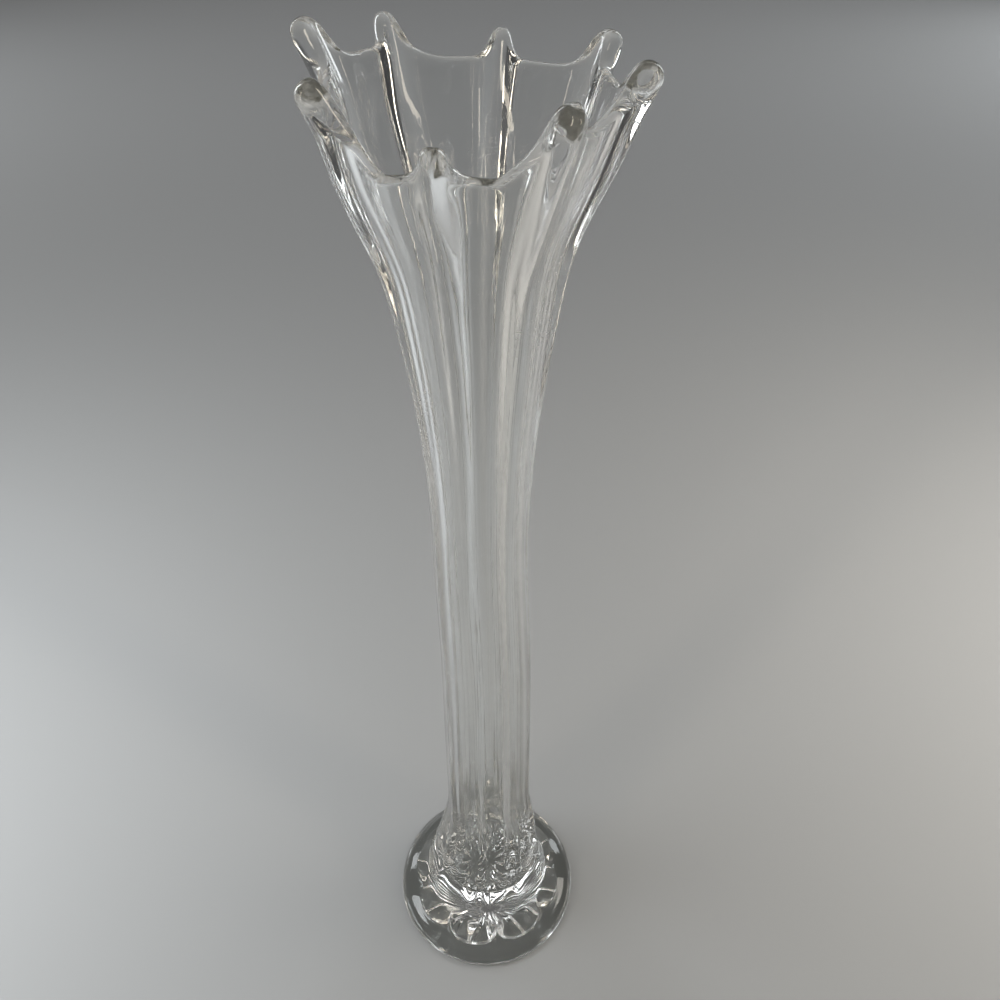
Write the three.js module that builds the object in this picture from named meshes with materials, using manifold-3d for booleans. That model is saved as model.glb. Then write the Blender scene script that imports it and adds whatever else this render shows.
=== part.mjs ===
// Swung glass vase: a round foot with a rayed star under it, a heavy lobed base,
// a ribbed column, and a flared mouth whose eight ribs run out into fingers.
// Millimetres, +Z up. The origin is the middle of the foot on the table.
// The glass is one casting. It is modelled in the portions that a glassmaker
// names, and each portion meets the next at a flat, level face.

import * as THREE from 'three';
import { mergeVertices } from 'three/addons/utils/BufferGeometryUtils.js';
import Module from 'manifold-3d';

const wasm = await Module();
wasm.setup();

// Foot
const footDiameter = 100;
const footEdgeThickness = 5;
const footEdgeRound = 2.2;
const footTopHeight = 6.5;
const footTopReach = 41;
const restRingInner = 82;
const footRecess = 0.8;

// Star pressed into the underside
const starRays = 24;
const starDiameter = 74;
const starCentreGap = 4;
const starWidestAt = 26;
const starRayWidth = 4;
const starRayTip = 0.5;
const starRayDepth = 1.7;

// Lobed base
const lobeSwell = 4.4;
const lobeBellyHeight = 16;
const lobeTopHeight = 33;
const lobeRound = 13;
const lobeRelief = 6;
const baseFlareReach = 38.6;
const baseTop = 88;

// Well inside the base
const wellFloor = 34;
const wellCorner = 8;
const wellFloorDish = 1.5;

// Column
const columnStart = 112;
const columnReach = 21.3;
const columnRelief = 1.4;
const waistHeight = 290;
const waistReach = 18.75;
const columnBow = 1.5;
const neckLean = 1.2;
const bellSway = 0.6;
const swayStartRatio = 0.35;
const swayEndRatio = 0.8;
const bellSwayFade = 12;

// Mouth
const bellStart = 330;
const mouthHeight = 450;
const mouthReach = 44.4;
const mouthRelief = 6;

// How sharply the curves of the outline bend
const baseFlarePower = 1.45;
const columnTaperPower = 1.3;
const bellPower = 2;
const bellSpillPower = 0.5;
const bellSlackRatio = 0.74;
const openingStartRatio = 0.7;
const openingEndRatio = 0.95;
const mouthReliefPower = 2.8;
const lobeChordRatio = 0.96;

// Glass thickness between the ribs
const wallAtBase = 8.5;
const wallInColumn = 4.2;
const wallAtRim = 3.2;

// Ribs and fingers
const ribCount = 8;
const firstRibDegrees = -14.45;
const ribRatioInColumn = 0.46;
const ribRatioAtMouth = 0.3;
const fingerDepth = 7.6;
const fingerHalfWidth = 4;
const valleyLift = 0.4;
const fingerLength = 11.4;
const fingerRise = 7.5;
const fingerLeanRise = 30;
const scallopPower = 1.25;
const fingerRootLift = 1;
const fingerCutHalfWidth = 7.5;

// What the swinging left uneven, rib by rib from the front one round to the right
const fingerHeightOffsets = [-5.5, 1.5, 1.7, -0.5, -5.4, 0.3, 6, 2];
const fingerLeanOffsets = [3.4, -0.4, 0.5, 0.8, 2.1, 0.7, -2.8, -1.6];
const fingerTurnDegrees = [3.5, 0.5, 0.5, -0.5, 1.5, 1.7, -1.6, 0.2];
const valleyHeightOffsets = [-4.5, 2, 3.5, 0, 0, 6, 7, -6];

const pitch = (2 * Math.PI) / ribCount;
const firstRib = THREE.MathUtils.degToRad(firstRibDegrees);
const footRadius = footDiameter / 2;
const valleyHeight = mouthHeight + valleyLift;
const fingerTip = valleyHeight + fingerLength;

const { lerp, clamp, smoothstep } = THREE.MathUtils;

const glass = () => new THREE.MeshStandardMaterial({
  color: 0xe8ecea,
  roughness: 0.03,
  metalness: 0,
  transparent: true,
  opacity: 0.35,
});

// Reach of the rib crests from the axis at a height
function crestReach(z) {
  if (z < columnStart) {
    const level = Math.max(z, lobeBellyHeight);
    const down = (columnStart - level) / columnStart;
    const swell = lobeSwell * (1 - smoothstep(level, lobeBellyHeight, lobeTopHeight));
    const under = lobeRound - Math.sqrt(Math.max(lobeRound ** 2 - (level - z) ** 2, 0));
    return lerp(columnReach, baseFlareReach, down ** baseFlarePower) + swell - under;
  }
  if (z < waistHeight) {
    const up = (z - columnStart) / (waistHeight - columnStart);
    return lerp(columnReach, waistReach, up ** columnTaperPower);
  }
  const up = (z - waistHeight) / (mouthHeight - waistHeight);
  const opening = lerp(bellSlackRatio, 1, smoothstep(up, openingStartRatio, openingEndRatio));
  const spill = Math.max(up, 1) ** bellSpillPower;
  return lerp(waistReach, mouthReach, opening * spill * up ** bellPower);
}

// How far the ribs stand out from the panels between them
function ribRelief(z) {
  if (z < waistHeight) {
    return lerp(lobeRelief, columnRelief, smoothstep(z, lobeBellyHeight, lobeTopHeight));
  }
  const up = (z - waistHeight) / (mouthHeight - waistHeight);
  return lerp(columnRelief, mouthRelief, up ** mouthReliefPower);
}

// Shape of one rib from its crest (0) to the middle of the panel (1)
function ribShape(z, across) {
  const low = Math.sqrt(1 - lobeChordRatio ** 2);
  const lobe = (Math.sqrt(1 - (lobeChordRatio * across) ** 2) - low) / (1 - low);
  const width = lerp(ribRatioInColumn, ribRatioAtMouth, smoothstep(z, waistHeight, mouthHeight));
  const ridge = Math.exp(-((across / width) ** 2));
  return lerp(lobe, ridge, smoothstep(z, lobeBellyHeight, lobeTopHeight));
}

// Where a place round the vase lies between two ribs: turns is counted in ribs
function placeAmongRibs(turns) {
  const index = Math.floor(turns);
  const part = turns - index;
  const from = ((index % ribCount) + ribCount) % ribCount;
  const to = (from + 1) % ribCount;
  return { from, to, part, near: part < 0.5 ? from : to, across: 2 * Math.min(part, 1 - part) };
}

const mixOffsets = (list, place) => lerp(list[place.from], list[place.to], place.part);

// How much of a finger's own turn and lean is felt at a height
const turnShare = (z) => smoothstep(z, (bellStart + mouthHeight) / 2, mouthHeight);
const leanShare = (z) => smoothstep(z, mouthHeight - fingerLeanRise, mouthHeight);

function azimuth(turns, z) {
  const turn = THREE.MathUtils.degToRad(mixOffsets(fingerTurnDegrees, placeAmongRibs(turns)));
  return firstRib + turns * pitch + turn * turnShare(z);
}

function outerReach(turns, z) {
  const place = placeAmongRibs(turns);
  const shape = ribShape(z, place.across);
  const lean = mixOffsets(fingerLeanOffsets, place) * leanShare(z);
  return crestReach(z) - ribRelief(z) * (1 - shape) + lean;
}

// Glass thickness: thin in the panels, thicker under the ribs
function wallThickness(turns, z) {
  const { across } = placeAmongRibs(turns);
  const panel = z < waistHeight
    ? lerp(wallAtBase, wallInColumn, smoothstep(z, wellFloor, columnStart))
    : lerp(wallInColumn, wallAtRim, smoothstep(z, waistHeight, mouthHeight));
  const flare = clamp((z - waistHeight) / (mouthHeight - waistHeight), 0, 1) ** 2;
  const extra = lerp(ribRelief(z), fingerDepth - wallAtRim, flare);
  return panel + extra * ribShape(z, across);
}

// The neck leans and the column bows toward +X, and the bell sways the other way
function axisShift(z) {
  const rise = smoothstep(z, wellFloor, baseTop);
  const lean = rise * (1 - smoothstep(z, baseTop, columnStart));
  const bow = rise * (1 - smoothstep(z, (columnStart + waistHeight) / 2, waistHeight));
  const from = lerp(bellStart, mouthHeight, swayStartRatio);
  const to = lerp(bellStart, mouthHeight, swayEndRatio);
  const fade = smoothstep(z, mouthHeight - bellSwayFade, mouthHeight + bellSwayFade / 2);
  const sway = smoothstep(z, from, to) * (1 - fade);
  return neckLean * lean + columnBow * bow - bellSway * sway;
}

function pointOn(turns, reach, z, levelForTurn = z) {
  const angle = azimuth(turns, levelForTurn);
  return new THREE.Vector3(
    axisShift(levelForTurn) + reach * Math.sin(angle),
    -reach * Math.cos(angle),
    z,
  );
}

// Height of the rim's top edge: a scallop between fingers, and a knob on each rib
const tipHeight = (rib) => fingerTip + fingerHeightOffsets[rib];
const rootHeight = (rib) => tipHeight(rib) - fingerRise;

function rimTop(turns) {
  const place = placeAmongRibs(turns);
  const valley = valleyHeight + valleyHeightOffsets[place.from];
  const climb = (1 - place.across) ** scallopPower;
  const scallop = lerp(valley, rootHeight(place.near), climb);
  const arc = (place.across / 2) * pitch * mouthReach;
  const knob = 1 / (1 + (arc / fingerHalfWidth) ** 4);
  return lerp(scallop, tipHeight(place.near), knob);
}

// Places round the vase, from steps between a rib's crest (0) and mid panel (1)
function placesAround(perHalfRib) {
  const places = [];
  for (let rib = 0; rib < ribCount; rib += 1) {
    for (const part of perHalfRib) places.push(rib + part / 2);
    for (const part of [...perHalfRib].reverse().slice(0, -1)) {
      if (part < 1) places.push(rib + 1 - part / 2);
    }
  }
  return places;
}

const evenSteps = (count) => Array.from({ length: count + 1 }, (_, i) => i / count);

// Skins rings of equal length into one closed body. Without poles the last ring
// joins the first.
function skin(rings, bottomPole, topPole) {
  const count = rings[0].length;
  const positions = [];
  for (const ring of rings) for (const p of ring) positions.push(p.x, p.y, p.z);
  const index = [];
  const at = (row, column) => (row % rings.length) * count + (column % count);
  const rows = bottomPole ? rings.length - 1 : rings.length;
  for (let row = 0; row < rows; row += 1) {
    for (let column = 0; column < count; column += 1) {
      const a = at(row, column);
      const b = at(row, column + 1);
      const c = at(row + 1, column + 1);
      const d = at(row + 1, column);
      index.push(a, b, c, a, c, d);
    }
  }
  if (bottomPole) {
    const low = positions.length / 3;
    positions.push(bottomPole.x, bottomPole.y, bottomPole.z, topPole.x, topPole.y, topPole.z);
    for (let column = 0; column < count; column += 1) {
      index.push(low, at(0, column + 1), at(0, column));
      index.push(low + 1, at(rings.length - 1, column), at(rings.length - 1, column + 1));
    }
  }
  const geometry = new THREE.BufferGeometry();
  geometry.setAttribute('position', new THREE.Float32BufferAttribute(positions, 3));
  geometry.setIndex(index);
  return geometry;
}

function toSolid(geometry) {
  return new wasm.Manifold(new wasm.Mesh({
    numProp: 3,
    vertProperties: new Float32Array(geometry.attributes.position.array),
    triVerts: new Uint32Array(geometry.index.array),
  }));
}

function toGeometry(solid) {
  const mesh = solid.getMesh();
  const geometry = new THREE.BufferGeometry();
  geometry.setAttribute('position', new THREE.BufferAttribute(mesh.vertProperties, 3));
  geometry.setIndex(new THREE.BufferAttribute(mesh.triVerts, 1));
  return geometry;
}

// One ring of the foot, four places to a ray of the star: the ray's two edges, its
// middle line, and the land between it and the next ray
function footRing(reach, z, rayWidth = null, rayDepth = 0) {
  const ring = [];
  const step = (2 * Math.PI) / starRays;
  const edge = rayWidth === null ? step / 4 : rayWidth / 2 / reach;
  for (let ray = 0; ray < starRays; ray += 1) {
    const places = [[-edge, 0], [0, rayDepth], [edge, 0], [step / 2, 0]];
    for (const [turn, depth] of places) {
      const angle = ray * step + turn;
      ring.push(new THREE.Vector3(reach * Math.cos(angle), reach * Math.sin(angle), z + depth));
    }
  }
  return ring;
}

// Round disc foot: a recessed underside with the star's slender grooves, a flat
// ring to rest on, a rounded edge and a top that slopes up to the base
function makeFoot() {
  const rings = [
    footRing(starCentreGap, footRecess, starRayTip),
    footRing(starWidestAt, footRecess, starRayWidth, starRayDepth),
    footRing(starDiameter / 2, footRecess, starRayTip),
    footRing(restRingInner / 2 - 2 * footRecess, footRecess),
    footRing(restRingInner / 2, 0),
  ];
  const roundMiddle = footRadius - footEdgeRound;
  const lowMiddle = footEdgeRound;
  const highMiddle = footEdgeThickness - footEdgeRound;
  for (const degrees of [-90, -60, -30, 0]) {
    const angle = THREE.MathUtils.degToRad(degrees);
    const reach = roundMiddle + footEdgeRound * Math.cos(angle);
    rings.push(footRing(reach, lowMiddle + footEdgeRound * Math.sin(angle)));
  }
  for (const degrees of [0, 30, 60, 90]) {
    const angle = THREE.MathUtils.degToRad(degrees);
    const reach = roundMiddle + footEdgeRound * Math.cos(angle);
    rings.push(footRing(reach, highMiddle + footEdgeRound * Math.sin(angle)));
  }
  rings.push(footRing(footTopReach, footTopHeight));
  return skin(rings, new THREE.Vector3(0, 0, footRecess), new THREE.Vector3(0, 0, footTopHeight));
}

// A level ring of the outer or the inner surface
const outerRing = (places, z) => places.map((turns) => pointOn(turns, outerReach(turns, z), z));
const innerRing = (places, z) => places.map(
  (turns) => pointOn(turns, outerReach(turns, z) - wallThickness(turns, z), z),
);

// Heights between two levels
const levels = (from, to, count) => evenSteps(count).map((step) => lerp(from, to, step));

// Heavy lobed base with the rounded floor of the well inside it
function makeBase() {
  const places = placesAround(evenSteps(5));
  const outer = [
    ...levels(footTopHeight, lobeBellyHeight, 2),
    ...levels(lobeBellyHeight, lobeTopHeight, 4).slice(1),
    ...levels(lobeTopHeight, baseTop, 4).slice(1),
  ];
  const inner = levels(baseTop, wellFloor + wellCorner, 3);
  const rings = outer.map((z) => outerRing(places, z)).concat(inner.map((z) => innerRing(places, z)));
  const cornerTop = rings[rings.length - 1];
  const shift = axisShift(wellFloor + wellCorner);
  for (const angle of [Math.PI / 6, Math.PI / 3, Math.PI / 2]) {
    const drop = wellCorner * Math.sin(angle);
    const inset = wellCorner * (1 - Math.cos(angle));
    rings.push(cornerTop.map((p) => {
      const reach = Math.hypot(p.x - shift, p.y);
      const shrink = (reach - inset) / reach;
      return new THREE.Vector3(shift + (p.x - shift) * shrink, p.y * shrink, wellFloor + wellCorner - drop);
    }));
  }
  const bottomPole = new THREE.Vector3(0, 0, footTopHeight);
  const topPole = new THREE.Vector3(shift, 0, wellFloor - wellFloorDish);
  return skin(rings, bottomPole, topPole);
}

// Ribbed column, open from end to end
function makeColumn() {
  const places = placesAround(evenSteps(5));
  const outer = [...levels(baseTop, columnStart, 2), ...levels(columnStart, bellStart, 6).slice(1)];
  const inner = [bellStart, waistHeight, (columnStart + waistHeight) / 2, columnStart, baseTop];
  const rings = outer.map((z) => outerRing(places, z)).concat(inner.map((z) => innerRing(places, z)));
  return skin(rings);
}

// Flared mouth with its scalloped, fire-polished rim
function makeBell() {
  const places = placesAround([0, 0.07, 0.14, 0.2, 0.27, 0.36, 0.5, 0.72, 1]);
  const slopeStep = 0.5;
  const section = places.map((turns) => {
    const along = (z, upright) => {
      const slope = (outerReach(turns, z + slopeStep) - outerReach(turns, z - slopeStep)) / (2 * slopeStep);
      return new THREE.Vector2(slope * upright, 1).normalize();
    };
    const rim = rimTop(turns);
    const half = wallThickness(turns, rim) / 2;
    const run = along(rim, 1);
    const lip = rim - half * (1 + run.x);
    const points = [];
    const inside = [];
    for (const step of [0, 0.22, 0.42, 0.58, 0.71, 0.82, 0.92, 1]) {
      const z = lerp(bellStart, lip, step);
      const way = step < 1 ? along(z, smoothstep(step, 0, 0.5)) : run;
      const reach = outerReach(turns, z);
      const thickness = step < 1 ? wallThickness(turns, z) : 2 * half;
      points.push({ reach, z, level: z });
      inside.push({ reach: reach - way.y * thickness, z: z + way.x * thickness, level: z });
    }
    const middle = { reach: outerReach(turns, lip) - run.y * half, z: lip + run.x * half };
    for (const degrees of [35, 65, 90, 115, 145]) {
      const angle = THREE.MathUtils.degToRad(degrees);
      const out = half * Math.cos(angle);
      const up = half * Math.sin(angle);
      points.push({
        reach: middle.reach + run.y * out + run.x * up,
        z: middle.z - run.x * out + run.y * up,
        level: lip,
      });
    }
    inside.splice(1, 1);
    return points.concat(inside.reverse()).map((p) => pointOn(turns, p.reach, p.z, p.level));
  });
  const rings = section[0].map((_, row) => section.map((points) => points[row]));
  return skin(rings);
}

// The block of space that holds one finger above its root
function fingerSpace(rib) {
  const inner = waistReach;
  const outer = 2 * mouthReach;
  const bottom = rootHeight(rib) + fingerRootLift;
  const top = fingerTip + 2 * fingerRise + Math.max(...fingerHeightOffsets);
  const block = new THREE.BoxGeometry(outer - inner, 2 * fingerCutHalfWidth, top - bottom);
  block.translate((inner + outer) / 2, 0, (top + bottom) / 2);
  block.rotateZ(azimuth(rib, mouthHeight) - Math.PI / 2);
  block.deleteAttribute('normal');
  block.deleteAttribute('uv');
  return toSolid(mergeVertices(block));
}

const vase = new THREE.Group();

function addPiece(name, geometry) {
  const piece = new THREE.Mesh(geometry, glass());
  piece.name = name;
  vase.add(piece);
}

addPiece('foot', makeFoot());
addPiece('base', makeBase());
addPiece('column', makeColumn());

let bell = toSolid(makeBell());
for (let rib = 0; rib < ribCount; rib += 1) {
  const space = fingerSpace(rib);
  addPiece(`finger_${rib + 1}`, toGeometry(bell.intersect(space)));
  bell = bell.subtract(space);
}
addPiece('bell', toGeometry(bell));

export default vase;
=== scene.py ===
"""Visual model of a clear swung glass vase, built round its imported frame.

The vase is one piece of glass, so its skin is one seamless mesh. A Geometry Nodes
tree lays a plain sheet of points over the rule of the lobes, the ribs, the fingers
and the star under the foot. Sizes are in millimetres until the tree's last step.
"""

import logging
import math
from dataclasses import asdict, dataclass, field
from enum import Enum
from typing import Iterable, Sequence, Union

import bpy
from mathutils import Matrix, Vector


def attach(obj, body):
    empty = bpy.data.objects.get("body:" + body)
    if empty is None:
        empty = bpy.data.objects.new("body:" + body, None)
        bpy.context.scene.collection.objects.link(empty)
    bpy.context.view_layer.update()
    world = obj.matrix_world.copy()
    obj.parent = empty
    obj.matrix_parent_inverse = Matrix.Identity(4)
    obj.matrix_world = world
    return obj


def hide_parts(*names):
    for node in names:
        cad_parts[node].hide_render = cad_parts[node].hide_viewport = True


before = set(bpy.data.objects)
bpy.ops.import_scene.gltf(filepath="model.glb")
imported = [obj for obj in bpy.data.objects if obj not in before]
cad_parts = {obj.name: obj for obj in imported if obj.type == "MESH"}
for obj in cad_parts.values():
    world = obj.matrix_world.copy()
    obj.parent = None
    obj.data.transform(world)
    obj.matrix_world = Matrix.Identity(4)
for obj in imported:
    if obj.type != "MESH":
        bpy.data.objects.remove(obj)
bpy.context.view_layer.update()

LOG = logging.getLogger("vase")
MILLIMETRE = 0.001

Value = Union["Field", float]


# Arithmetic in a node tree


class Field:
    """A number that varies over a mesh, on which plain arithmetic can be written."""

    def __init__(self, tree: bpy.types.NodeTree, socket: bpy.types.NodeSocket) -> None:
        """Keeps the tree and the socket that carries the number."""
        self.tree = tree
        self.socket = socket

    def math(self, operation: str, *values: Value) -> "Field":
        """Adds one Math node.

        Args:
            operation: the Math node's operation.
            values: what goes into its sockets, in order.

        Returns:
            The node's result.
        """
        node = self.tree.nodes.new("ShaderNodeMath")
        node.operation = operation
        for slot, value in zip(node.inputs, values):
            if isinstance(value, Field):
                self.tree.links.new(value.socket, slot)
            else:
                slot.default_value = value
        return Field(self.tree, node.outputs[0])

    def __add__(self, other: Value) -> "Field":
        """This number plus another."""
        return self.math("ADD", self, other)

    def __radd__(self, other: float) -> "Field":
        """A plain number plus this one."""
        return self.math("ADD", other, self)

    def __sub__(self, other: Value) -> "Field":
        """This number less another."""
        return self.math("SUBTRACT", self, other)

    def __rsub__(self, other: float) -> "Field":
        """A plain number less this one."""
        return self.math("SUBTRACT", other, self)

    def __mul__(self, other: Value) -> "Field":
        """This number times another."""
        return self.math("MULTIPLY", self, other)

    def __rmul__(self, other: float) -> "Field":
        """A plain number times this one."""
        return self.math("MULTIPLY", other, self)

    def __truediv__(self, other: Value) -> "Field":
        """This number over another."""
        return self.math("DIVIDE", self, other)

    def __rtruediv__(self, other: float) -> "Field":
        """A plain number over this one."""
        return self.math("DIVIDE", other, self)

    def __pow__(self, other: Value) -> "Field":
        """This number, not below nothing, to a power."""
        return self.math("POWER", self.at_least(0.0), other)

    def at_least(self, other: Value) -> "Field":
        """The larger of this number and another."""
        return self.math("MAXIMUM", self, other)

    def at_most(self, other: Value) -> "Field":
        """The smaller of this number and another."""
        return self.math("MINIMUM", self, other)

    def root(self) -> "Field":
        """The square root."""
        return self.math("SQRT", self.at_least(0.0))

    def size_only(self) -> "Field":
        """The number without its sign."""
        return self.math("ABSOLUTE", self)

    def sine(self) -> "Field":
        """The sine of this angle in radians."""
        return self.math("SINE", self)

    def cosine(self) -> "Field":
        """The cosine of this angle in radians."""
        return self.math("COSINE", self)

    def fraction(self) -> "Field":
        """What is left after the whole number."""
        return self.math("FRACT", self)

    def exponential(self) -> "Field":
        """The exponential of this number."""
        return self.math("EXPONENT", self)

    def below(self, other: Value) -> "Field":
        """One where this number is below another, else nothing."""
        return self.math("LESS_THAN", self, other)

    def smoothstep(self, start: Value, end: Value) -> "Field":
        """Eases from nothing to one between two values.

        Args:
            start: where it is still nothing.
            end: from where it is one.

        Returns:
            The eased share.
        """
        node = self.tree.nodes.new("ShaderNodeMapRange")
        node.interpolation_type = "SMOOTHSTEP"
        for slot, value in zip(node.inputs, (self, start, end)):
            if isinstance(value, Field):
                self.tree.links.new(value.socket, slot)
            else:
                slot.default_value = value
        return Field(self.tree, node.outputs[0])


def mix(start: Value, end: Value, share: Field) -> Field:
    """Goes from one value to another.

    Args:
        start: the value at share 0.
        end: the value at share 1.
        share: how far to go.

    Returns:
        The value between the two.
    """
    return share * (end - start) + start


# Sizes of the vase


@dataclass(frozen=True)
class FootSizes:
    """The round disc foot."""

    foot_diameter: float = 100.0
    foot_edge_thickness: float = 5.0
    foot_edge_round: float = 2.4
    foot_top_height: float = 6.5
    foot_top_reach: float = 41.0
    rest_ring_inner: float = 82.0
    foot_recess: float = 0.6
    foot_fillet: float = 3.4


@dataclass(frozen=True)
class StarSizes:
    """The star pressed into the underside of the foot."""

    star_rays: float = 24.0
    star_diameter: float = 74.0
    star_centre_gap: float = 4.0
    star_widest_at: float = 24.0
    star_ray_width: float = 4.2
    star_ray_tip: float = 0.5
    star_ray_depth: float = 1.9


@dataclass(frozen=True)
class BaseSizes:
    """The heavy base with its ring of round lobes."""

    lobe_swell: float = 5.4
    lobe_belly_height: float = 10.0
    lobe_top_height: float = 24.0
    lobe_round: float = 18.0
    lobe_relief: float = 6.0
    lobe_chord_ratio: float = 0.96
    base_flare_reach: float = 38.6
    base_flare_power: float = 1.45
    base_top: float = 88.0
    shoulder_relief: float = 0.4
    well_floor: float = 34.0
    well_corner: float = 8.0
    well_floor_dish: float = 1.5


@dataclass(frozen=True)
class ColumnSizes:
    """The ribbed column that the swing drew out."""

    column_start: float = 112.0
    column_reach: float = 21.3
    column_relief: float = 1.3
    column_taper_power: float = 1.3
    column_bow: float = 1.5
    neck_lean: float = 1.2
    waist_height: float = 290.0
    waist_reach: float = 18.75
    rib_ratio_in_column: float = 0.36
    swing_ripple: float = 0.1


@dataclass(frozen=True)
class MouthSizes:
    """The flared mouth with its round-ended fingers."""

    bell_start: float = 330.0
    mouth_height: float = 450.0
    mouth_reach: float = 44.4
    mouth_relief: float = 6.0
    mouth_relief_power: float = 2.8
    bell_power: float = 2.0
    bell_spill_power: float = 0.5
    bell_slack_ratio: float = 0.74
    opening_start_ratio: float = 0.7
    opening_end_ratio: float = 0.95
    bell_sway: float = 0.6
    sway_start_ratio: float = 0.35
    sway_end_ratio: float = 0.8
    bell_sway_fade: float = 12.0
    rib_ratio_at_mouth: float = 0.3
    finger_depth: float = 7.6
    finger_half_width: float = 4.0
    finger_rise: float = 7.5
    finger_lean_rise: float = 30.0
    scallop_power: float = 1.25


@dataclass(frozen=True)
class WallSizes:
    """Glass thickness between the ribs."""

    wall_at_base: float = 8.5
    wall_in_column: float = 4.2
    wall_at_rim: float = 3.2


@dataclass(frozen=True)
class Hand:
    """How uneven the swing left the eight fingers, going round from the front one."""

    ribs: int = 8
    first_rib: float = -14.45
    finger_tip: float = 461.8
    valley: float = 450.4
    tip_offsets: tuple[float, ...] = (-5.5, 1.5, 1.7, -0.5, -5.4, 0.3, 6.0, 2.0)
    lean_offsets: tuple[float, ...] = (3.4, -0.4, 0.5, 0.8, 2.1, 0.7, -2.8, -1.6)
    turn_degrees: tuple[float, ...] = (3.5, 0.5, 0.5, -0.5, 1.5, 1.7, -1.6, 0.2)
    valley_offsets: tuple[float, ...] = (-4.5, 2.0, 3.5, 0.0, 0.0, 6.0, 7.0, -6.0)

    def between(self, offsets: Sequence[float], turns: float) -> float:
        """Mixes the offsets of the two ribs on either side of a place.

        Args:
            offsets: one offset for each rib.
            turns: the place, counted in ribs.

        Returns:
            The offset there.
        """
        part = turns - math.floor(turns)
        start = offsets[math.floor(turns) % self.ribs]
        end = offsets[(math.floor(turns) + 1) % self.ribs]
        return start + (end - start) * part


# The sheet that the tree shapes


class Section(Enum):
    """Which rule a row of the sheet follows."""

    FOOT = "foot"
    FILLET = "fillet"
    WALL = "wall"


@dataclass(frozen=True)
class Row:
    """One row of the sheet, from the middle of the underside to the well's floor."""

    section: Section
    reach: float = 0.0
    level: float = 0.0
    fillet: float = 0.0
    lip_turn: float = 0.0
    floor_turn: float = 0.0
    floor_share: float = 0.0


def spread(start: float, end: float, count: int, ease: float = 1.0) -> list[float]:
    """Spaces values out, without the first one.

    Args:
        start: the value before the first.
        end: the last value.
        count: how many values.
        ease: above one, they are closer together at the start.

    Returns:
        The values in order.
    """
    return [start + (end - start) * ((i + 1) / count) ** ease for i in range(count)]


def ease_in_out(share: float) -> float:
    """Eases a share so that it starts and ends level."""
    return share * share * (3 - 2 * share)


@dataclass(frozen=True)
class RowCounts:
    """How many rows of points each stretch of the skin gets, and how they crowd."""

    star_inside: int = 13
    star_tips: int = 12
    star_tips_ease: float = 1.5
    recess: int = 6
    foot_edge: int = 7
    foot_top: int = 5
    fillet: int = 9
    lobes: int = 22
    neck: int = 14
    column: int = 24
    bell: int = 62
    bell_ease: float = 0.8
    lip: int = 13
    bell_inside: int = 54
    well_wall: int = 26
    well_corner: int = 8


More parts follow.
